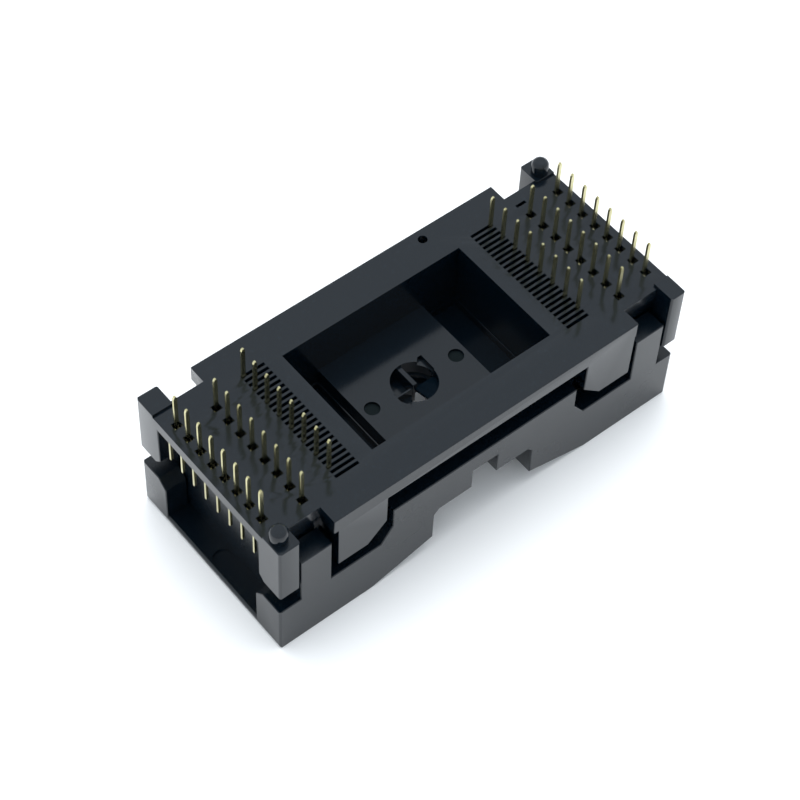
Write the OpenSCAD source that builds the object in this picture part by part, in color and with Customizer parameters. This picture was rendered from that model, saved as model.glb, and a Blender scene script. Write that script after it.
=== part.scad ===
// Open-top ZIF test socket for a 48-lead thin small-outline package with
// leads on a 0.5 mm pitch.  It lies on its press cover with the solder pins up.
// Frame: X along the long side, Z up through the pins, origin on the table
// under the middle of the cover.  Millimetres.

/* [Overall] */
// length of the base and of the cover
socket_length = 40.0; // [38:0.1:42]
// width of the base
base_width = 17.8; // [16:0.1:20]
// width of the cover
cover_width = 17.6; // [16:0.1:20]
// height of the board side of the base above the press face of the cover
plate_top = 13.1; // [12:0.1:15]

/* [Base] */
// half length of the full-width middle of the base
body_half = 15.0; // [13:0.1:16]
// depth of the long side walls of the middle
body_wall_depth = 1.5; // [1:0.1:3]
// half width of the two end plates
end_half_width = 7.2; // [6:0.1:8]
// thickness of the two end plates
end_plate = 1.1; // [0.8:0.1:2]
// inner end of the four corner blocks
block_inner = 18.1; // [17:0.05:19]
// inner side of the four corner blocks under the plate
block_side = 6.25; // [5.5:0.05:7]
// height of the foot of the corner blocks
block_foot = 7.25; // [6:0.05:9]
// step of the lands on the corner blocks above the plate
land_step = 0.25; // [0.1:0.05:0.5]
// inner side of the lands
land_side = 6.8; // [6:0.1:7.5]
// inner end of the four side tabs
tab_inner = 9.9; // [9:0.1:11]
// outer end of the four side tabs
tab_outer = 14.7; // [13:0.1:15]
// height of the foot of the side tabs
tab_foot = 6.97; // [6:0.01:9]
// length of the slope on the side tabs
tab_slope = 1.8; // [0.5:0.1:2.5]
// rise of the slope on the side tabs
tab_rise = 1.68; // [0.5:0.01:2.5]

/* [Pocket] */
// half length of the pocket in the board side
pocket_half_x = 8.8; // [7:0.1:10]
// half width of the pocket
pocket_half_y = 5.5; // [4:0.1:6]
// half length of the raised floor of the pocket
island_half_x = 5.3; // [4:0.1:7]
// height of the raised floor
island_top = 8.4; // [7.5:0.1:10]
// height of the underside of the floor, where the seat is held
floor_under = 6.9; // [6:0.1:7.5]
// half width of the frame of walls round the pocket
frame_half_y = 6.8; // [6.2:0.1:7]
// radius of the hole in the middle of the floor
eye_r = 1.95; // [1.5:0.05:2.5]
// distance of the two shallow round marks from the middle
mark_x = 4.25; // [3:0.05:5]
// radius of the shallow round marks
mark_r = 0.65; // [0.4:0.05:1]

/* [Contacts] */
// pitch of the package leads
lead_pitch = 0.5; // [0.4:0.05:0.65]
// leads on each end of the package
leads_per_end = 24; // [8:1:28]
// length of the holes for the middle and outer pins
hole_x = 0.7; // [0.5:0.05:1]
// width of the holes for the middle and outer pins
hole_y = 0.62; // [0.4:0.02:0.8]
// thickness of the contact strip
contact_t = 0.2; // [0.15:0.01:0.25]
// distance of the inner pin row from the middle
row_inner = 12.3; // [11:0.1:13]
// distance between neighbouring pin rows
row_pitch = 3.3; // [2.5:0.1:4]
// height of the pins above the plate
pin_height = 3.45; // [2.5:0.05:4]
// width of a pin
pin_width = 0.35; // [0.25:0.01:0.5]
// distance from the middle to the point where a lead is held
lead_hold = 9.85; // [9:0.05:10.5]
// height of the fixed jaw on which the lead foot lies
jaw_face = 5.65; // [5:0.05:6.5]
// distance of the turning point of the spring arms from the middle
pivot_x = 13.2; // [12:0.1:14]
// height of the turning point of the spring arms
pivot_z = 9.0; // [8:0.1:10]
// distance of the press rib from the middle
rib_x = 17.5; // [16:0.1:18.5]
// play left between parts that move past each other
play = 0.05; // [0.02:0.01:0.1]

/* [Comb] */
// inner end of the comb in the board side
comb_inner = 10.3; // [9.5:0.1:11]
// outer end of the comb in the board side
comb_outer = 12.5; // [12:0.1:14]
// width of a comb slot
comb_slot = 0.27; // [0.24:0.01:0.35]
// outer face of the contact block under the plate
block_end = 14.4; // [13.5:0.1:15]

/* [Cover] */
// travel of the cover when it is pressed
travel = 1.5; // [0.8:0.1:2]
// height of the top of the long side walls of the cover
side_top = 9.15; // [8:0.05:10]
// half length of the long side walls between the tab slots
side_half = 9.2; // [8:0.1:10]
// height of the floor of the tab slots
slot_floor = 5.45; // [5:0.05:7]
// inner end of the four columns
column_inner = 15.1; // [15:0.05:16]
// outer end of the four columns
column_outer = 17.98; // [17:0.02:18]
// height of the top of the columns
column_top = 10.25; // [10:0.05:11.5]
// height of the ledges of the base under which the cover hooks
hook_z = 9.4; // [9:0.05:10]
// outer side of these ledges
hook_side = 7.45; // [7.2:0.05:7.8]
// height of the top of the corner posts
post_top = 5.2; // [4.5:0.05:6]
// inner side of the corner posts
post_side = 5.8; // [5:0.1:7]
// height of the low rim across each end
rim_top = 0.8; // [0.5:0.1:1.5]
// half length of the window over the package
window_x = 10.8; // [10:0.1:12]
// inner side of the long walls
wall_inner = 6.95; // [6.6:0.05:7.5]
// leg of the rounded lower edge at both ends
foot_round = 0.45; // [0.2:0.05:0.8]
// half length of the finger recess in the long sides
recess_half = 5.0; // [3:0.1:7]
// height of the top of the finger recess
recess_top = 5.1; // [4:0.1:6]
// rise of the long lower edge beside the finger recess
edge_rise = 1.6; // [0.5:0.1:2.5]

/* [Pegs] */
// distance of the locating pegs from the middle along the socket
peg_x = 19.1; // [18:0.05:19.2]
// distance of the locating pegs from the middle across the socket
peg_y = 7.6; // [7:0.05:8]
// radius of the locating pegs
peg_r = 0.72; // [0.5:0.01:1]
// height of the locating pegs above their lands
peg_height = 1.2; // [0.8:0.1:2]

/* [Hidden] */
half_l = socket_length / 2;
half_b = base_width / 2;
half_c = cover_width / 2;
end_under = plate_top - end_plate;
body_under = plate_top - body_wall_depth;
land_top = plate_top + land_step;
tip_z = plate_top + pin_height;
row_middle = row_inner + row_pitch;
row_outer = row_inner + 2 * row_pitch;
first_y = (leads_per_end - 1) * lead_pitch / 2;
comb_half_y = first_y + 0.1;
per_row = leads_per_end / 3;
row_step = 3 * lead_pitch;
// the arms turn by this much while the cover is pressed home
swing = 2 * atan(travel / 2 / (rib_x - pivot_x));
tail_z = pivot_z - (rib_x - pivot_x) * tan(swing / 2);
hub_r = 0.42;
rib_r = 0.4;
rib_z = tail_z - (rib_r + 0.03) / cos(swing / 2);
seat_top = floor_under - 0.02;
seat_face = 5.8;
black = [0.13, 0.135, 0.15];
cover_black = [0.11, 0.115, 0.13];
seat_black = [0.17, 0.175, 0.19];
gold = [0.83, 0.68, 0.32];

// ---------------------------------------------------------------- helpers
module ends() { children(); mirror([1, 0, 0]) children(); }
module sides() { children(); mirror([0, 1, 0]) children(); }
module box3(x0, x1, y0, y1, z0, z1) {
  translate([x0, y0, z0]) cube([x1 - x0, y1 - y0, z1 - z0]);
}
// a plate seen from the long side: outline in X and Z, between two Y values
module side_plate(y0, y1, outline) {
  translate([0, y1, 0]) rotate([90, 0, 0])
    linear_extrude(y1 - y0) polygon(outline);
}
// a plate seen from the end: outline in Y and Z, between two X values
module end_plate_shape(x0, x1, outline) {
  translate([x0, 0, 0]) rotate([90, 0, 90])
    linear_extrude(x1 - x0) polygon(outline);
}

// ---------------------------------------------------------------- base
module corner_block() {
  e = 0.15;
  difference() {
    translate([0, 0, block_foot]) linear_extrude(plate_top - block_foot)
      polygon([[block_inner, block_side], [half_l, block_side],
               [half_l, half_b - e], [half_l - e, half_b],
               [block_inner + 0.15, half_b], [block_inner, half_b - 0.15]]);
    // slope on the lower inner edge of the leg
    end_plate_shape(block_inner - 1, half_l + 1,
      [[block_side - 1, block_foot - 1], [block_side + 0.6, block_foot - 1],
       [block_side + 0.6, block_foot], [block_side, block_foot + 0.6],
       [block_side - 1, block_foot + 0.6]]);
  }
  translate([0, 0, plate_top - 0.5]) linear_extrude(land_step + 0.5)
    polygon([[block_inner, land_side], [half_l, land_side],
             [half_l, half_b - e], [half_l - e, half_b],
             [block_inner + 0.15, half_b], [block_inner, half_b - 0.15]]);
}

module peg() {
  translate([peg_x, peg_y, land_top - 0.2]) rotate_extrude($fn = 48)
    polygon([[0, 0], [peg_r, 0], [peg_r, peg_height - 0.15],
             [peg_r - 0.12, peg_height + 0.08], [peg_r - 0.3, peg_height + 0.2],
             [0, peg_height + 0.2]]);
}

module side_tab() {
  // side face of the base that drops into the slot of the cover
  side_plate(end_half_width, half_b,
    [[tab_inner, body_under + 0.5], [tab_inner, tab_foot + tab_rise],
     [tab_inner + tab_slope, tab_foot], [tab_outer, tab_foot],
     [tab_outer, body_under + 0.5]]);
}

module hook_ledge() {
  // ledge inside the column, under which the cover hooks
  end_plate_shape(column_inner + 0.15, column_outer - 0.15,
    [[frame_half_y - 0.2, 8.6], [frame_half_y, 8.6], [hook_side, 9.0],
     [hook_side, hook_z], [frame_half_y - 0.2, hook_z]]);
}

module base_solid() {
  box3(-body_half, body_half, -half_b, half_b, body_under, plate_top);
  box3(-half_l, half_l, -end_half_width, end_half_width, end_under, plate_top);
  // walls round the pocket
  box3(-10, 10, -frame_half_y, frame_half_y, floor_under, plate_top - 0.5);
  ends() {
    // contact block under the plate
    box3(9.3, block_end, -frame_half_y, frame_half_y, 8.6, plate_top - 0.5);
    // partitions that line up the package leads
    box3(9.32, 10.9, -frame_half_y, frame_half_y, 5.35, 8.7);
    sides() {
      // walls under the end plates
      box3(block_end - 0.2, block_inner + 0.2, 6.05, frame_half_y, 8.6, end_under + 0.2);
      box3(block_inner, block_inner + 0.2, 6.05, block_side + 0.1, 8.6, end_under + 0.2);
      corner_block();
      side_tab();
      hook_ledge();
      // web that joins the tab to the frame
      box3(tab_inner + 0.4, tab_outer, frame_half_y - 0.2, end_half_width + 0.1,
           9.6, body_under + 0.2);
    }
  }
  peg();
  rotate([0, 0, 180]) peg();
}

module pocket_cut() {
  // pocket down to the raised floor
  box3(-pocket_half_x, pocket_half_x, -pocket_half_y, pocket_half_y,
       island_top, plate_top + 1);
  // trenches at both ends of the floor
  ends() box3(island_half_x, pocket_half_x, -pocket_half_y, pocket_half_y,
              floor_under - 1, plate_top);
  // eye in the floor with its two square corners
  translate([0, 0, floor_under - 1]) cylinder(r = eye_r, h = 4, $fn = 96);
  for (a = [0, 180]) rotate([0, 0, a])
    box3(0, 2.05, -0.1, 1.7, floor_under - 1, island_top + 1);
  // shallow marks
  for (s = [-1, 1]) translate([s * mark_x, 0, island_top - 0.25])
    cylinder(r = mark_r, h = 1, $fn = 48);
  // holes for the four stakes of the seat
  for (x = [-3.2, 3.2], y = [-4.3, 4.3]) translate([x, y, floor_under - 1])
    cylinder(r = 0.52, h = 2.0, $fn = 48);
}

module comb_cut() {
  for (k = [0 : leads_per_end - 1]) {
    y = first_y - k * lead_pitch;
    // slot seen from the board side
    box3(comb_inner, comb_outer, y - comb_slot / 2, y + comb_slot / 2,
         body_under - 1, plate_top + 1);
    // slot under the plate, open towards the package and the end
    box3(9.31, block_end + 1, y - comb_slot / 2, y + comb_slot / 2, 5, end_under - 0.04);
  }
}

// holes in the end plate for one row of pins, each wider on one side of its pin
module pin_slots(x, y0) {
  for (i = [0 : per_row - 1])
    box3(x + 0.4 - hole_x, x + 0.4,
         y0 - i * row_step + 0.18 - hole_y, y0 - i * row_step + 0.18,
         end_under - 0.2, plate_top + 1);
}

module base() color(black) {
  base_body();
  eye_cross();
}

module base_body() difference() {
  base_solid();
  pocket_cut();
  ends() {
    comb_cut();
    pin_slots(row_middle, first_y - 2 * lead_pitch);
    pin_slots(row_outer, first_y - lead_pitch);
  }
  // one slot position that carries no pin
  box3(row_middle - 0.35, row_middle + 0.6, first_y + 0.08, first_y + 0.36,
       end_under - 0.2, plate_top + 1);
  // small vent hole beside the pocket
  translate([7.07, 7.92, body_under - 1]) cylinder(r = 0.4, h = 4, $fn = 32);
  // shallow grooves in which the outer contact ends are held
  ends() for (i = [0 : per_row - 1]) {
    y = first_y - lead_pitch - i * row_step;
    box3(19.35, 19.75, y - 0.12, y + 0.12, end_under - 1, end_under + 0.35);
  }
}

// ribs and thin web across the eye
module eye_cross() {
  intersection() {
    translate([0, 0, 5.5]) cylinder(r = eye_r + 0.1, h = 2.65, $fn = 96);
    union() {
      // rib towards +Y
      box3(-0.2, 0.2, -0.1, 2.2, floor_under, 8.15);
      // thin wall towards -X
      box3(-2.2, 0.1, -0.05, 0.15, floor_under, 8.0);
      box3(-1.7, 0.1, -0.05, 0.15, floor_under - 1.0, floor_under + 0.1);
      // thin web over the quarter towards +X and -Y
      box3(-0.02, 2.2, -2.2, 0.12, 7.85, 8.15);
    }
  }
}

// ---------------------------------------------------------------- cover
module cover_side() {
  rail = [[0, recess_top + 2.2], [1.25, recess_top + 2.2], [1.25, recess_top],
          [recess_half - 0.5, recess_top], [recess_half, recess_top - 0.5],
          [recess_half, edge_rise], [11, 0], [half_l, 0],
          [half_l, post_top], [column_outer, post_top],
          [column_outer, column_top], [column_inner, column_top],
          [column_inner, slot_floor], [side_half + 1.1, slot_floor],
          [side_half, slot_floor + 1.55], [side_half, side_top], [0, side_top]];
  difference() {
    side_plate(wall_inner, half_c, rail);
    // pocket under the top of the column, which hooks over the ledge of the base
    box3(column_inner - 1, column_outer + 1, 0, hook_side + 0.1, 7.0, hook_z + 0.01);
    // outer vertical edge of the corner
    translate([half_l, half_c, -1]) rotate([0, 0, 45])
      translate([-0.1, -1, 0]) cube([1, 2, 8]);
  }
}

module cover_end() {
  // end of the press face with a low rim and the rib that swings the arms
  difference() {
    union() {
      side_plate(-wall_inner - 0.1, wall_inner + 0.1,
        [[window_x, 0], [half_l, 0], [half_l, rim_top - 0.15],
         [half_l - 0.15, rim_top], [rib_x, rim_top],
         [rib_x, rim_top + 1.8], [rib_x - 1.2, rim_top + 1.8],
         [14.2, 1.5], [window_x + 0.5, 1.5], [window_x, 1.0]]);
      // rib
      box3(rib_x - rib_r, rib_x + rib_r, -5.95, 5.95, 0.5, rib_z);
      translate([rib_x, 5.95, rib_z]) rotate([90, 0, 0])
        cylinder(r = rib_r, h = 11.9, $fn = 48);
      // buttresses between the rib and the side walls
      sides() box3(rib_x - rib_r, rib_x + rib_r, 5.9, wall_inner + 0.1, 0.5, post_top);
    }
    // shallow round mark in the floor behind the rim
    translate([18.85, 0, rim_top - 0.15]) cylinder(r = 0.85, h = 1, $fn = 48);
  }
}

module cover_post() {
  // corner post with a sloping shoulder
  end_plate_shape(block_inner - 0.05, half_l,
    [[post_side, 0], [post_side, post_top - 0.85], [post_side + 0.9, post_top],
     [half_c - 0.3, post_top], [half_c - 0.3, 0]]);
}

module cover() color(cover_black) ends() sides() difference() {
  union() {
    cover_side();
    cover_post();
    intersection() { cover_end(); box3(0, 25, 0, 12, -1, 20); }
  }
  // rounded lower edge across the end
  side_plate(-1, 12,
    [[half_l - foot_round, -1], [half_l - foot_round, 0],
     [half_l - 0.4 * foot_round, 0.15 * foot_round],
     [half_l - 0.15 * foot_round, 0.4 * foot_round],
     [half_l, foot_round], [half_l + 1, foot_round], [half_l + 1, -1]]);
}

// ---------------------------------------------------------------- seat
module seat() color(seat_black) {
  difference() {
    union() {
      box3(-9.28, 9.28, -6.75, 6.75, seat_face, seat_top);
      // side guides for the package body
      sides() side_plate(6.1, 6.75,
        [[-9.28, seat_face + 0.1], [-9.28, 4.9], [-8.8, 4.4], [8.8, 4.4],
         [9.28, 4.9], [9.28, seat_face + 0.1]]);
      // stakes
      for (x = [-3.2, 3.2], y = [-4.3, 4.3]) translate([x, y, seat_top - 0.2])
        cylinder(r = 0.5, h = 1.1, $fn = 48);
    }
    // half round opening under the eye of the base
    intersection() {
      translate([0, 0, seat_face - 1]) cylinder(r = 1.78, h = 5, $fn = 96);
      box3(-2, 2, -2, 0.2, seat_face - 2, 9);
    }
  }
}

// ---------------------------------------------------------------- contacts
// fixed part of one contact in its own plane, outline in X and Z for the +X end
module fixed_strip(pin_x) {
  far = pin_x > row_outer - 0.1;
  // jaw, back and cup that holds the root of the arm
  difference() {
    union() {
      polygon([[9.6, jaw_face], [10.1, jaw_face], [10.35, jaw_face + 0.3],
               [10.35, 8.2], [11.0, 9.6], [12.3, 10.3], [14.1, 10.3],
               [14.1, 11.0], [11.2, 11.0], [10.0, 9.4], [9.6, 8.2]]);
      polygon([[12.7, 10.6], [12.45, 9.9], [12.6, 9.05], [12.75, 8.75],
               [13.65, 8.75], [13.95, 9.2], [14.1, 10.6]]);
    }
    translate([pivot_x, pivot_z]) circle(r = hub_r + play, $fn = 48);
    polygon([[12.0, 7.5], [12.0, 8.7], [12.75, 9.0], [13.2, 9.0],
             [13.45, 9.52], [13.85, 9.86], [14.6, 10.1], [14.6, 7.5]]);
  }
  // pin with its bar
  translate([pin_x - pin_width / 2, 10.5])
    polygon([[0, 0], [0, tip_z - 10.75], [pin_width * 0.3, tip_z - 10.5],
             [pin_width * 0.7, tip_z - 10.5], [pin_width, tip_z - 10.75],
             [pin_width, 0]]);
  if (pin_x > row_inner + 0.1) {
    polygon([[13.2, 10.5], [13.2, 11.6], [13.9, 11.9], [pin_x + 0.4, 11.9],
             [pin_x + 0.4, 11.2], [14.1, 11.2], [14.1, 10.5]]);
    // shoulder inside the slot of the end plate
    polygon([[pin_x - 0.25, 11.5], [pin_x - 0.25, 12.6], [pin_x + 0.3, 12.6],
             [pin_x + 0.3, 11.5]]);
  } else {
    // foot of the inner pin in the comb
    polygon([[pin_x - 0.45, 10.5], [pin_x - 0.35, 11.9], [pin_x + 0.18, 11.9],
             [pin_x + 0.35, 10.5]]);
  }
  if (far) {
    // outer end that hangs down behind the end opening
    polygon([[pin_x, 11.2], [pin_x, 11.9], [19.42, 11.9], [19.42, 12.3],
             [19.68, 12.3], [19.68, 9.05], [19.42, 9.05], [19.42, 11.2]]);
  }
}

// moving arm of one contact, outline in X and Z for the +X end
module arm_strip() {
  a = swing / 2;
  translate([pivot_x, pivot_z]) circle(r = hub_r, $fn = 48);
  // tail over the press rib
  translate([pivot_x, pivot_z]) rotate(-a)
    polygon([[0, -0.0], [4.75, 0], [4.95, 0.2], [4.95, 0.45], [4.75, 0.6],
             [0.9, 0.42], [0.2, 0.3]]);
  // bowed arm down to the lead
  polygon([[13.5, 8.72], [13.3, 8.6], [12.95, 8.2], [12.7, 7.4], [12.55, 6.3], [12.3, 5.4],
           [11.8, 4.75], [11.2, 4.45], [10.4, 4.4], [9.85, 4.55],
           [9.62, 4.9], [9.62, jaw_face - play - 0.1],
           [9.72, jaw_face - play], [10.0, jaw_face - play],
           [10.12, jaw_face - play - 0.15], [10.3, 5.15], [10.9, 5.0],
           [11.4, 5.2], [11.8, 5.75], [11.95, 6.6], [12.1, 7.6],
           [12.4, 8.5], [12.85, 9.15], [13.3, 9.2]]);
}

// eight strips of one row, three pitches apart
module row(y0) {
  for (i = [0 : per_row - 1])
    translate([0, y0 - i * row_step + contact_t / 2, 0]) rotate([90, 0, 0])
      linear_extrude(contact_t) children();
}
module left() { mirror([1, 0, 0]) children(); }

module pins_a() color(gold) left() row(first_y - lead_pitch) fixed_strip(row_outer);
module pins_b() color(gold) left() row(first_y - 2 * lead_pitch) fixed_strip(row_middle);
module pins_c() color(gold) left() row(first_y) fixed_strip(row_inner);
module pins_d() color(gold) row(first_y) fixed_strip(row_inner);
module pins_e() color(gold) row(first_y - 2 * lead_pitch) fixed_strip(row_middle);
module pins_f() color(gold) row(first_y - lead_pitch) fixed_strip(row_outer);
module arms_a() color(gold) left() row(first_y - lead_pitch) arm_strip();
module arms_b() color(gold) left() row(first_y - 2 * lead_pitch) arm_strip();
module arms_c() color(gold) left() row(first_y) arm_strip();
module arms_d() color(gold) row(first_y) arm_strip();
module arms_e() color(gold) row(first_y - 2 * lead_pitch) arm_strip();
module arms_f() color(gold) row(first_y - lead_pitch) arm_strip();

base();
cover();
seat();
pins_a();
pins_b();
pins_c();
pins_d();
pins_e();
pins_f();
arms_a();
arms_b();
arms_c();
arms_d();
arms_e();
arms_f();
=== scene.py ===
"""Looks of an open-top zero-insertion-force test socket, lying on its cover.

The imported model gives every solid.  This script works on copies: it rounds the
edges of the three mouldings and of the stamped contacts, refines a few small
forms, dresses every piece, and sets the table, the light and the camera.
"""
from __future__ import annotations

import logging
import math
from dataclasses import dataclass, field
from enum import Enum
from typing import Sequence

import bmesh
import bpy
from mathutils import Matrix, Vector

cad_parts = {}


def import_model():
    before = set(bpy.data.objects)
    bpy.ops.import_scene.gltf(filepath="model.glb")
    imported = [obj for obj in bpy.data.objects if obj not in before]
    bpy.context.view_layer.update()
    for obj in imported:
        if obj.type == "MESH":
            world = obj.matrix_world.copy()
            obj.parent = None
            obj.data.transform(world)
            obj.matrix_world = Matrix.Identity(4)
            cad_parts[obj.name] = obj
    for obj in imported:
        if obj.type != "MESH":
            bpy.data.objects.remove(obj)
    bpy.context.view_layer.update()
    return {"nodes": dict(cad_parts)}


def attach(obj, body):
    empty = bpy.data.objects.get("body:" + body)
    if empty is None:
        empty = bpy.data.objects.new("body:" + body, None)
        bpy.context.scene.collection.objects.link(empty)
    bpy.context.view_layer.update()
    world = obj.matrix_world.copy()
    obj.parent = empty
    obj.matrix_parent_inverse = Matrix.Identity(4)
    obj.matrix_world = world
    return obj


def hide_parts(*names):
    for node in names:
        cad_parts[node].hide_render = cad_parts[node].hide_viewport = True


LOG = logging.getLogger("socket")
MM = 0.001
MERGE_MM = 0.002       # points nearer than this are one point
SLIVER_MM = 0.0005     # faces narrower than this are taken out
FLAT_DEG = 1.0         # faces within this angle of each other are one face
Colour = tuple[float, float, float, float]


class Join(Enum):
    """The ways in which a tool shape changes a moulding."""

    ADD = "UNION"
    CUT = "DIFFERENCE"


def linear(hex_code: str) -> Colour:
    """Turns an sRGB hex value to a linear colour.

    Args:
        hex_code: six hex digits, without a leading mark.

    Returns:
        The linear red, green, blue and an alpha of 1.
    """
    out = []
    for i in (0, 2, 4):
        v = int(hex_code[i:i + 2], 16) / 255
        out.append(v / 12.92 if v <= 0.04045 else ((v + 0.055) / 1.055) ** 2.4)
    return (out[0], out[1], out[2], 1.0)


def add_node(tree: bpy.types.NodeTree, kind: str,
             settings: dict | None = None, inputs: dict | None = None,
             links: dict | None = None) -> bpy.types.Node:
    """Adds one node with its settings, input values and incoming links.

    Args:
        tree: the node tree.
        kind: the node's type name.
        settings: attributes to set on the node.
        inputs: input name or number to value.
        links: input name or number to an output socket.

    Returns:
        The new node.
    """
    node = tree.nodes.new(kind)
    for key, value in (settings or {}).items():
        setattr(node, key, value)
    for key, value in (inputs or {}).items():
        node.inputs[key].default_value = value
    for key, socket in (links or {}).items():
        tree.links.new(socket, node.inputs[key])
    return node


def new_material(name: str) -> tuple[bpy.types.Material, bpy.types.NodeTree,
                                     bpy.types.Node, bpy.types.NodeSocket]:
    """Starts a material.

    Args:
        name: the material's name.

    Returns:
        The material, its tree, its shader node and the Object coordinates.
    """
    material = bpy.data.materials.new(name)
    material.use_nodes = True
    tree = material.node_tree
    tree.nodes.clear()
    shader = add_node(tree, "ShaderNodeBsdfPrincipled")
    add_node(tree, "ShaderNodeOutputMaterial", links={"Surface": shader.outputs[0]})
    coords = add_node(tree, "ShaderNodeTexCoord").outputs["Object"]
    return material, tree, shader, coords


@dataclass(frozen=True)
class MouldedPlastic:
    """Glass-filled polyetherimide, moulded in black.

    The body colour is nearly black and slightly blue, so what the eye sees is
    the skin's reflection of the room.  The mould's spark-eroded face gives a
    fine matt grain, the glass fibre a faint fleck, and the flow of the melt a
    slow change of gloss.
    """

    name: str
    body: str = "040d15"
    fleck: str = "16222b"
    roughness: float = 0.24
    grain_mm: float = 0.14
    grain_height_mm: float = 0.003
    ior: float = 1.46

    def build(self) -> bpy.types.Material:
        """Makes the material."""
        material, tree, shader, coords = new_material(self.name)
        # the real grain is about 0.02 mm; it is drawn coarser so that it shows
        grain = add_node(tree, "ShaderNodeTexNoise", inputs={
            "Scale": 1 / (self.grain_mm * MM), "Detail": 3.0, "Roughness": 0.6},
            links={"Vector": coords})
        flow = add_node(tree, "ShaderNodeTexNoise", inputs={
            "Scale": 1 / (6 * MM), "Detail": 3.0, "Roughness": 0.55},
            links={"Vector": coords})
        fibre = add_node(tree, "ShaderNodeTexNoise", inputs={
            "Scale": 1 / (0.3 * MM), "Detail": 4.0, "Roughness": 0.7},
            links={"Vector": coords})
        share = add_node(tree, "ShaderNodeMapRange", inputs={
            "From Min": 0.58, "From Max": 0.76, "To Min": 0.0, "To Max": 0.6},
            links={"Value": fibre.outputs["Fac"]})
        tint = add_node(tree, "ShaderNodeMix", {"data_type": "RGBA"}, inputs={
            6: linear(self.body), 7: linear(self.fleck)},
            links={0: share.outputs[0]})
        tree.links.new(tint.outputs[2], shader.inputs["Base Color"])
        gloss = add_node(tree, "ShaderNodeMapRange", inputs={
            "From Min": 0.3, "From Max": 0.7,
            "To Min": self.roughness - 0.04, "To Max": self.roughness + 0.05},
            links={"Value": flow.outputs["Fac"]})
        tree.links.new(gloss.outputs[0], shader.inputs["Roughness"])
        bump = add_node(tree, "ShaderNodeBump", inputs={
            "Strength": 0.5, "Distance": self.grain_height_mm * MM},
            links={"Height": grain.outputs["Fac"]})
        tree.links.new(bump.outputs[0], shader.inputs["Normal"])
        shader.inputs["IOR"].default_value = self.ior
        return material


@dataclass(frozen=True)
class GoldPlate:
    """Beryllium copper strip, stamped and then plated with hard gold.

    The plating is thin and pale, with fine drawn lines from the strip's
    rolling and a slow change of tone where it thins towards the copper.
    """

    name: str
    bright: str = "e0dcb4"
    deep: str = "a39a68"
    roughness: float = 0.24

    def build(self) -> bpy.types.Material:
        """Makes the material."""
        material, tree, shader, coords = new_material(self.name)
        stretch = add_node(tree, "ShaderNodeMapping", inputs={"Scale": (1, 1, 0.08)},
                           links={"Vector": coords})
        lines = add_node(tree, "ShaderNodeTexNoise", inputs={
            "Scale": 1 / (0.06 * MM), "Detail": 2.0},
            links={"Vector": stretch.outputs[0]})
        tone = add_node(tree, "ShaderNodeTexNoise", inputs={
            "Scale": 1 / (1.2 * MM), "Detail": 2.0}, links={"Vector": coords})
        tint = add_node(tree, "ShaderNodeMix", {"data_type": "RGBA"}, inputs={
            6: linear(self.deep), 7: linear(self.bright)},
            links={0: tone.outputs["Fac"]})
        tree.links.new(tint.outputs[2], shader.inputs["Base Color"])
        gloss = add_node(tree, "ShaderNodeMapRange", inputs={
            "To Min": self.roughness - 0.03, "To Max": self.roughness + 0.05},
            links={"Value": lines.outputs["Fac"]})
        tree.links.new(gloss.outputs[0], shader.inputs["Roughness"])
        shader.inputs["Metallic"].default_value = 1.0
        return material


def dress(node: bpy.types.Object, material: bpy.types.Material) -> None:
    """Gives every face of a piece one material."""
    node.data.materials.clear()
    node.data.materials.append(material)


def merge(bm: bmesh.types.BMesh) -> None:
    """Merges loose triangles to a closed mesh and its flat faces to one each.

    Args:
        bm: the mesh, which is changed.
    """
    bmesh.ops.remove_doubles(bm, verts=bm.verts, dist=MERGE_MM * MM)
    bmesh.ops.dissolve_limit(bm, angle_limit=math.radians(FLAT_DEG),
                             verts=bm.verts, edges=bm.edges,
                             use_dissolve_boundaries=False)


def merged_copy(node: bpy.types.Object) -> bmesh.types.BMesh:
    """Copies a node's mesh, merges its loose triangles and its flat faces.

    Args:
        node: the node to copy, which stays as it is.

    Returns:
        A closed mesh to work on.
    """
    bm = bmesh.new()
    bm.from_mesh(node.data)
    merge(bm)
    return bm


def verts_in(bm: bmesh.types.BMesh, low: Sequence[float],
             high: Sequence[float]) -> list[bmesh.types.BMVert]:
    """Lists the points inside a box.

    Args:
        bm: the mesh.
        low: lowest corner of the box, in millimetres.
        high: highest corner of the box, in millimetres.

    Returns:
        The points.
    """
    return [v for v in bm.verts
            if all(a <= c / MM <= b for a, c, b in zip(low, v.co, high))]


def shift(bm: bmesh.types.BMesh, low: Sequence[float], high: Sequence[float],
          by: Sequence[float]) -> None:
    """Moves the points inside a box.

    Args:
        bm: the mesh.
        low: lowest corner of the box, in millimetres.
        high: highest corner of the box, in millimetres.
        by: the move, in millimetres.
    """
    bmesh.ops.translate(bm, verts=verts_in(bm, low, high), vec=Vector(by) * MM)


def new_object(bm: bmesh.types.BMesh, name: str) -> bpy.types.Object:
    """Makes an object of a mesh.

    Args:
        bm: the mesh, which is freed.
        name: the object's name.

    Returns:
        The new object, at the origin.
    """
    mesh = bpy.data.meshes.new(name)
    bm.to_mesh(mesh)
    bm.free()
    piece = bpy.data.objects.new(name, mesh)
    bpy.context.collection.objects.link(piece)
    return piece


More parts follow.
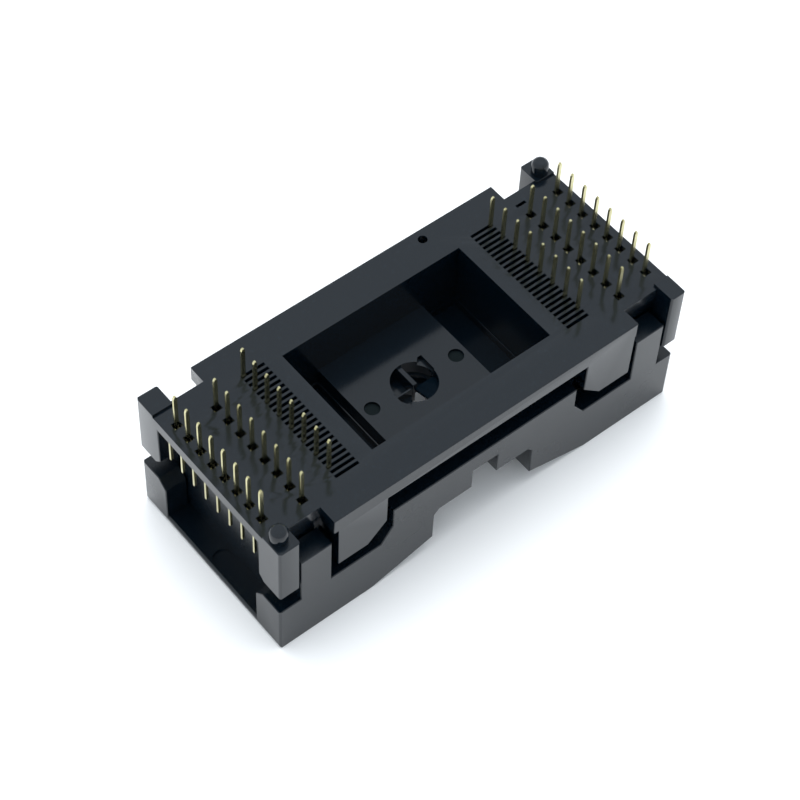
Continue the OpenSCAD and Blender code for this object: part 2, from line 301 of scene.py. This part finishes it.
def finished(bm: bmesh.types.BMesh, name: str, widest_mm: float = 0.2,
             smooth_deg: float = 12) -> bpy.types.Object:
    """Makes an object of a mesh, smooth across its narrow, curved faces only.

    Args:
        bm: the mesh, which is freed.
        name: the object's name.
        widest_mm: the widest strip that counts as part of a curve.
        smooth_deg: the largest angle that is shaded smooth.

    Returns:
        The new object, at the origin.
    """
    bmesh.ops.dissolve_degenerate(bm, dist=SLIVER_MM * MM, edges=bm.edges)
    for face in bm.faces:
        # twice the area over the rim is the width of a long strip
        width = 2 * face.calc_area() / max(face.calc_perimeter(), 1e-9) / MM
        face.smooth = width < widest_mm and len(face.verts) < 6
    piece = new_object(bm, name)
    piece.data.set_sharp_from_angle(angle=math.radians(smooth_deg))
    return piece


def arc(radius: float, start_deg: float, end_deg: float,
        steps: int = 24) -> list[tuple[float, float]]:
    """Lists the points of an arc about the Z axis.

    Args:
        radius: its radius, in millimetres.
        start_deg: where it starts.
        end_deg: where it ends.
        steps: the number of its straight steps.

    Returns:
        The points, in millimetres.
    """
    turns = [math.radians(start_deg + (end_deg - start_deg) * i / steps)
             for i in range(steps + 1)]
    return [(radius * math.cos(a), radius * math.sin(a)) for a in turns]


def prism(outline: Sequence[tuple[float, float]], low: float,
          high: float) -> bpy.types.Object:
    """Makes an upright prism to add to a moulding or to cut from it.

    Args:
        outline: its corners in the plane, in millimetres, anticlockwise.
        low: height of its underside, in millimetres.
        high: height of its top, in millimetres.

    Returns:
        The prism, which ``combine`` takes away again.
    """
    bm = bmesh.new()
    face = bm.faces.new([bm.verts.new((x * MM, y * MM, low * MM))
                         for x, y in outline])
    grown = bmesh.ops.extrude_face_region(bm, geom=[face])["geom"]
    bmesh.ops.translate(bm, vec=(0, 0, (high - low) * MM),
                        verts=[v for v in grown if isinstance(v, bmesh.types.BMVert)])
    bmesh.ops.recalc_face_normals(bm, faces=bm.faces)
    return new_object(bm, "tool")


def tilted(tool: bpy.types.Object, slope: float,
           hinge_y: float) -> bpy.types.Object:
    """Lowers a tool shape towards +Y, from a line across it.

    Args:
        tool: the tool shape.
        slope: the fall per length.
        hinge_y: the line that stays, in millimetres.

    Returns:
        The same tool shape.
    """
    for point in tool.data.vertices:
        point.co.z -= slope * (point.co.y - hinge_y * MM)
    return tool


def block(x0: float, x1: float, y0: float, y1: float, low: float,
          high: float) -> bpy.types.Object:
    """Makes an upright block as a tool shape, sizes in millimetres."""
    return prism([(x0, y0), (x1, y0), (x1, y1), (x0, y1)], low, high)


def combine(bm: bmesh.types.BMesh,
            steps: Sequence[tuple[Join, bpy.types.Object]]) -> None:
    """Adds tool shapes to a mesh and cuts others from it, in order.

    Args:
        bm: the mesh, which is changed.
        steps: the way and the tool shape of each step.
    """
    body = new_object(bm.copy(), "body")
    for way, tool in steps:
        change = body.modifiers.new(way.name, "BOOLEAN")
        change.operation, change.solver, change.object = way.value, "EXACT", tool
    shape = body.evaluated_get(bpy.context.evaluated_depsgraph_get())
    mesh = bpy.data.meshes.new_from_object(shape)
    bm.clear()
    bm.from_mesh(mesh)
    merge(bm)
    bpy.data.meshes.remove(mesh)
    for piece in [body] + [tool for _, tool in steps]:
        bpy.data.meshes.remove(piece.data)


@dataclass(frozen=True)
class Rounding:
    """Edge radii of a moulding or stamping, in millimetres."""

    outer: float = 0.08
    fine: float = 0.02
    side: float = 8.6
    end: float = 19.9
    shortest: float = 0.25
    sharp_deg: float = 40
    outer_shortest: float = 0.6

    def is_outer(self, edge: bmesh.types.BMEdge) -> bool:
        """Tells whether an edge lies on the outline of the socket.

        Args:
            edge: the edge.

        Returns:
            True for a long edge near the sides or ends.
        """
        mid = (edge.verts[0].co + edge.verts[1].co) / 2 / MM
        return ((abs(mid.y) > self.side or abs(mid.x) > self.end)
                and edge.calc_length() / MM > self.outer_shortest)

    def is_sharp(self, edge: bmesh.types.BMEdge) -> bool:
        """Tells whether an edge is an outward one, long enough to round.

        Args:
            edge: the edge.

        Returns:
            True if it gets a radius.
        """
        return (len(edge.link_faces) == 2
                and edge.calc_length() / MM > self.shortest
                and edge.calc_face_angle_signed(0) > math.radians(self.sharp_deg))

    def apply(self, bm: bmesh.types.BMesh) -> None:
        """Rounds the outer edges first, then the fine ones.

        Args:
            bm: the mesh, which is changed.
        """
        for radius, outer in ((self.outer, True), (self.fine, False)):
            edges = [e for e in bm.edges
                     if self.is_sharp(e) and self.is_outer(e) == outer]
            if edges:
                bmesh.ops.bevel(bm, geom=edges, offset=radius * MM,
                                offset_type="OFFSET", segments=2, profile=0.5,
                                affect="EDGES", clamp_overlap=False,
                                material=-1)
            LOG.info("rounded %d edges by %.3f mm", len(edges), radius)


@dataclass
class Moulding:
    """One moulding, whose copy gets rounded edges and the moulded skin."""

    node: str
    body: str
    slot: str
    finish: MouldedPlastic
    rounding: Rounding = field(default_factory=Rounding)

    def trim(self, bm: bmesh.types.BMesh) -> None:
        """Changes small forms of the copy before its edges are rounded."""

    def mark(self, piece: bpy.types.Object) -> None:
        """Gives single faces a finish of their own."""

    def build(self, nodes: dict[str, bpy.types.Object]) -> bpy.types.Object:
        """Copies, trims, rounds and dresses the moulding.

        Args:
            nodes: the model's nodes by name.

        Returns:
            The dressed piece.
        """
        bm = merged_copy(nodes[self.node])
        self.trim(bm)
        self.rounding.apply(bm)
        piece = finished(bm, self.node + "_moulding")
        dress(piece, self.finish.build())
        self.mark(piece)
        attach(piece, self.body)
        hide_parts(self.node)
        LOG.info("%s: %d faces in %s", piece.name, len(piece.data.polygons),
                 self.finish.name)
        return piece


@dataclass
class BaseMoulding(Moulding):
    """The base, sizes in millimetres.

    Its block without a peg at the +X and -Y corner is shorter than the others.
    """

    block_shift: float = 0.42
    tab_end: float = 14.7
    tab_shift: float = 0.14
    eye_r: float = 1.95
    eye_depth: float = 1.5
    floor_under: float = 6.9
    floor_top: float = 8.4
    corner_floor: float = 8.0
    rib_half: float = 0.2
    rib_top: float = 8.15
    wall_half: float = 0.07
    wall_top: float = 7.75
    web_slope: float = 0.33
    mark_x: float = 4.25
    mark_r: float = 0.65

    def eye(self, bm: bmesh.types.BMesh) -> None:
        """Makes the eye anew: shallow corners, a rib, a thin wall and a web.

        Args:
            bm: the copy of the base, which is changed.
        """
        r, under, top = self.eye_r, self.floor_under, self.floor_top
        corner = [(0, 0), (2.05, 0), (2.05, 1.72), (1.72, 1.72)]
        combine(bm, [
            (Join.ADD, block(-2.3, 2.3, -1.95, 1.95, under, top)),
            (Join.CUT, prism(arc(r, 0, 354, 59), under - self.eye_depth, top + 1)),
            (Join.CUT, prism(corner, self.corner_floor, top + 1)),
            (Join.CUT, prism([(-x, -y) for x, y in corner],
                             self.corner_floor, top + 1)),
            (Join.ADD, block(-self.rib_half, self.rib_half, -0.1, r + 0.1,
                             under + 0.05, self.rib_top)),
            (Join.ADD, block(-r - 0.1, 0.1, -self.wall_half, self.wall_half,
                             under + 0.02, self.wall_top)),
            (Join.ADD, block(-r + 0.1, 0.1, -self.wall_half, self.wall_half,
                             under - 1.0, under + 0.1)),
            # the web falls towards the thin wall, so it mirrors the far wall
            (Join.ADD, tilted(prism([(0.02, 0.05)] + arc(r + 0.06, -90, 0, 16),
                                    self.floor_top - 0.5, self.floor_top - 0.25),
                              self.web_slope, -r)),
        ])

    def mark(self, piece: bpy.types.Object) -> None:
        """Dresses the floors of the two ejector marks.

        Args:
            piece: the dressed base, which gets a second material.
        """
        piece.data.materials.append(
            MouldedPlastic("ejector_mark", body="0a1214", roughness=0.6,
                           ior=1.22).build())
        for face in piece.data.polygons:
            x, y, z = (c / MM for c in face.center)
            if (math.hypot(abs(x) - self.mark_x, y) < self.mark_r
                    and z < self.floor_top - 0.1 and face.normal.z > 0.5):
                face.material_index = 1

    def trim(self, bm: bmesh.types.BMesh) -> None:
        """Shortens one corner block, moves the tabs' ends and makes the eye.

        Args:
            bm: the copy of the base, which is changed.
        """
        self.eye(bm)
        shift(bm, (18.05, -9, 7.0), (18.5, -6.0, 13.5),
              (self.block_shift, 0, 0))
        for end in (self.tab_end, -self.tab_end):
            shift(bm, (end - 0.05, -9, 6.9), (end + 0.05, 9, 11.7),
                  (self.tab_shift, 0, 0))


@dataclass
class SeatMoulding(Moulding):
    """The package seat, with its opening under the eye, in millimetres."""

    opening_r: float = 1.8
    closed_r: float = 1.85
    channel_floor: float = 6.05
    channel_inner: float = 5.4
    channel_outer: float = 8.7

    def trim(self, bm: bmesh.types.BMesh) -> None:
        """Fits the hole to the eye above it and sinks both channels.

        Args:
            bm: the copy of the seat, which is changed.
        """
        closed = ([(-0.01, 0.25), (-self.closed_r, 0.25)]
                  + arc(self.closed_r, 180, 228))
        cup = [(-0.1, -0.15)] + arc(self.opening_r, -4, 93)
        combine(bm, [(Join.ADD, prism(closed, 5.82, 6.86)),
                     (Join.CUT, prism(cup, 5.95, 7.5)),
                     (Join.CUT, block(-0.02, 1.0, -0.1, 0.95, 5.0, 7.5))]
                + [(Join.CUT, block(x0, x1, -5.4, 5.4, self.channel_floor, 7.5))
                   for x0, x1 in ((-self.channel_outer, -self.channel_inner),
                                  (self.channel_inner, self.channel_outer))])


@dataclass
class CoverMoulding(Moulding):
    """The press cover, in millimetres.

    One of its columns stands further out, beside the base's short block.
    """

    column_shift: float = 0.28
    column_inner: float = 15.1
    column_outer: float = 17.98
    column_top: float = 10.25
    side: float = 8.8
    back: float = 6.95
    hook_y: float = 7.55
    hook_low: float = 7.0
    hook_high: float = 9.41
    post_top: float = 5.2
    slot_floor: float = 5.45

    def trim(self, bm: bmesh.types.BMesh) -> None:
        """Moves the column of the +X and -Y corner outwards, hook and all.

        Args:
            bm: the copy of the cover, which is changed.
        """
        x0, x1 = self.column_outer - 0.08, self.column_outer + self.column_shift
        foot = self.post_top - 0.1
        combine(bm, [
            (Join.ADD, block(x0, x1, -self.side, -self.hook_y,
                             foot, self.column_top)),
            (Join.ADD, block(x0, x1, -self.hook_y - 0.05, -self.back,
                             foot, self.hook_low)),
            (Join.ADD, block(x0, x1, -self.hook_y - 0.05, -self.back,
                             self.hook_high, self.column_top)),
            (Join.CUT, block(self.column_inner - 0.1,
                             self.column_inner + self.column_shift,
                             -self.side - 0.1, -self.back + 0.05,
                             self.slot_floor, self.column_top + 0.05)),
        ])


@dataclass
class ContactRow:
    """One row of eight contacts: the fixed halves or the spring arms."""

    node: str
    body: str
    finish: bpy.types.Material
    rounding: Rounding = field(default_factory=lambda: Rounding(
        outer=0.03, fine=0.03, shortest=0.1))

    def build(self, nodes: dict[str, bpy.types.Object]) -> bpy.types.Object:
        """Copies the row, breaks the edges of its strips and dresses it.

        Args:
            nodes: the model's nodes by name.

        Returns:
            The dressed piece.
        """
        bm = merged_copy(nodes[self.node])
        self.rounding.apply(bm)
        piece = finished(bm, self.node + "_strips")
        dress(piece, self.finish)
        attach(piece, self.body)
        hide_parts(self.node)
        LOG.info("%s: %d faces", piece.name, len(piece.data.polygons))
        return piece


@dataclass
class Studio:
    """The table, the soft light and the camera.

    Angles are in degrees, the camera's lengths in millimetres and the lamp's
    in metres.
    """

    plate_top: float = 13.1
    azimuth: float = -131.742
    elevation: float = 53.95
    roll: float = 3.341
    distance: float = 175.255
    look_x: float = -4.296
    look_y: float = -3.238
    lens_mm: float = 104.51
    sensor_mm: float = 36.0
    lamp_place: tuple[float, float, float] = (0.05, 0.14, 0.6)
    lamp_size: float = 0.6
    lamp_watts: float = 3.7
    room: Colour = (0.94, 1.0, 1.05, 1.0)

    def table(self) -> None:
        """Lays a plain white table under the socket."""
        mesh = bpy.data.meshes.new("table")
        bm = bmesh.new()
        bmesh.ops.create_grid(bm, x_segments=1, y_segments=1, size=1.5)
        bm.to_mesh(mesh)
        bm.free()
        table = bpy.data.objects.new("table", mesh)
        bpy.context.collection.objects.link(table)
        material, _, shader, _ = new_material("white_laminate_table")
        shader.inputs["Base Color"].default_value = linear("f4f5f6")
        shader.inputs["Roughness"].default_value = 0.6
        dress(table, material)

    def lamp(self) -> None:
        """Hangs one soft box over the table, facing the origin."""
        data = bpy.data.lights.new("key_box", "AREA")
        data.energy, data.size = self.lamp_watts, self.lamp_size
        lamp = bpy.data.objects.new("key_box", data)
        bpy.context.collection.objects.link(lamp)
        lamp.location = self.lamp_place
        way = -Vector(self.lamp_place)
        lamp.rotation_euler = way.to_track_quat("-Z", "Y").to_euler()
        # the box lights the table; the skin mirrors only the pale room
        lamp.visible_glossy = False

    def light(self) -> None:
        """Sets the room's glow and the soft box."""
        world = bpy.data.worlds.new("pale_room")
        bpy.context.scene.world = world
        world.use_nodes = True
        back = world.node_tree.nodes["Background"]
        back.inputs[0].default_value = self.room
        back.inputs[1].default_value = 1.0
        self.lamp()

    def camera(self) -> None:
        """Places the camera and makes it the scene's."""
        az, el, roll = (math.radians(v) for v in
                        (self.azimuth, self.elevation, self.roll))
        out = Vector((math.cos(el) * math.cos(az), math.cos(el) * math.sin(az),
                      math.sin(el)))
        side = (-out).cross(Vector((0, 0, 1))).normalized()
        up = side.cross(-out)
        right = math.cos(roll) * side + math.sin(roll) * up
        head = math.cos(roll) * up - math.sin(roll) * side
        look = Vector((self.look_x, self.look_y, self.plate_top))
        place = look + out * self.distance
        turn = Matrix((right, head, out)).transposed().to_4x4()
        data = bpy.data.cameras.new("camera")
        data.lens, data.sensor_width = self.lens_mm, self.sensor_mm
        data.clip_start, data.clip_end = 0.01, 10.0
        camera = bpy.data.objects.new("camera", data)
        bpy.context.collection.objects.link(camera)
        camera.matrix_world = Matrix.Translation(place * MM) @ turn
        bpy.context.scene.camera = camera

    def build(self) -> None:
        """Sets table, light and camera."""
        self.table()
        self.light()
        self.camera()
        view = bpy.context.scene.view_settings
        view.view_transform = "Standard"
        view.look = "None"
        view.exposure = 0.0
        view.gamma = 1.0


def main() -> None:
    """Builds every sub-assembly in order and logs their face counts."""
    logging.basicConfig(level=logging.INFO, format="%(name)s: %(message)s")
    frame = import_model()
    nodes = frame["nodes"]
    BaseMoulding("base", "housing", "base_plastic",
                 MouldedPlastic("moulded_black_base", roughness=0.16)).build(nodes)
    CoverMoulding("cover", "press_cover", "cover_plastic",
                  MouldedPlastic("moulded_black_cover")).build(nodes)
    SeatMoulding("seat", "housing", "seat_plastic",
                 MouldedPlastic("moulded_black_seat", roughness=0.16)).build(nodes)
    gold = GoldPlate("hard_gold_plate").build()
    for letter in "abcdef":
        arm_body = "arms_left" if letter in "abc" else "arms_right"
        ContactRow("pins_" + letter, "housing", gold).build(nodes)
        ContactRow("arms_" + letter, arm_body, gold).build(nodes)
    Studio().build()


if __name__ == "__main__":
    main()
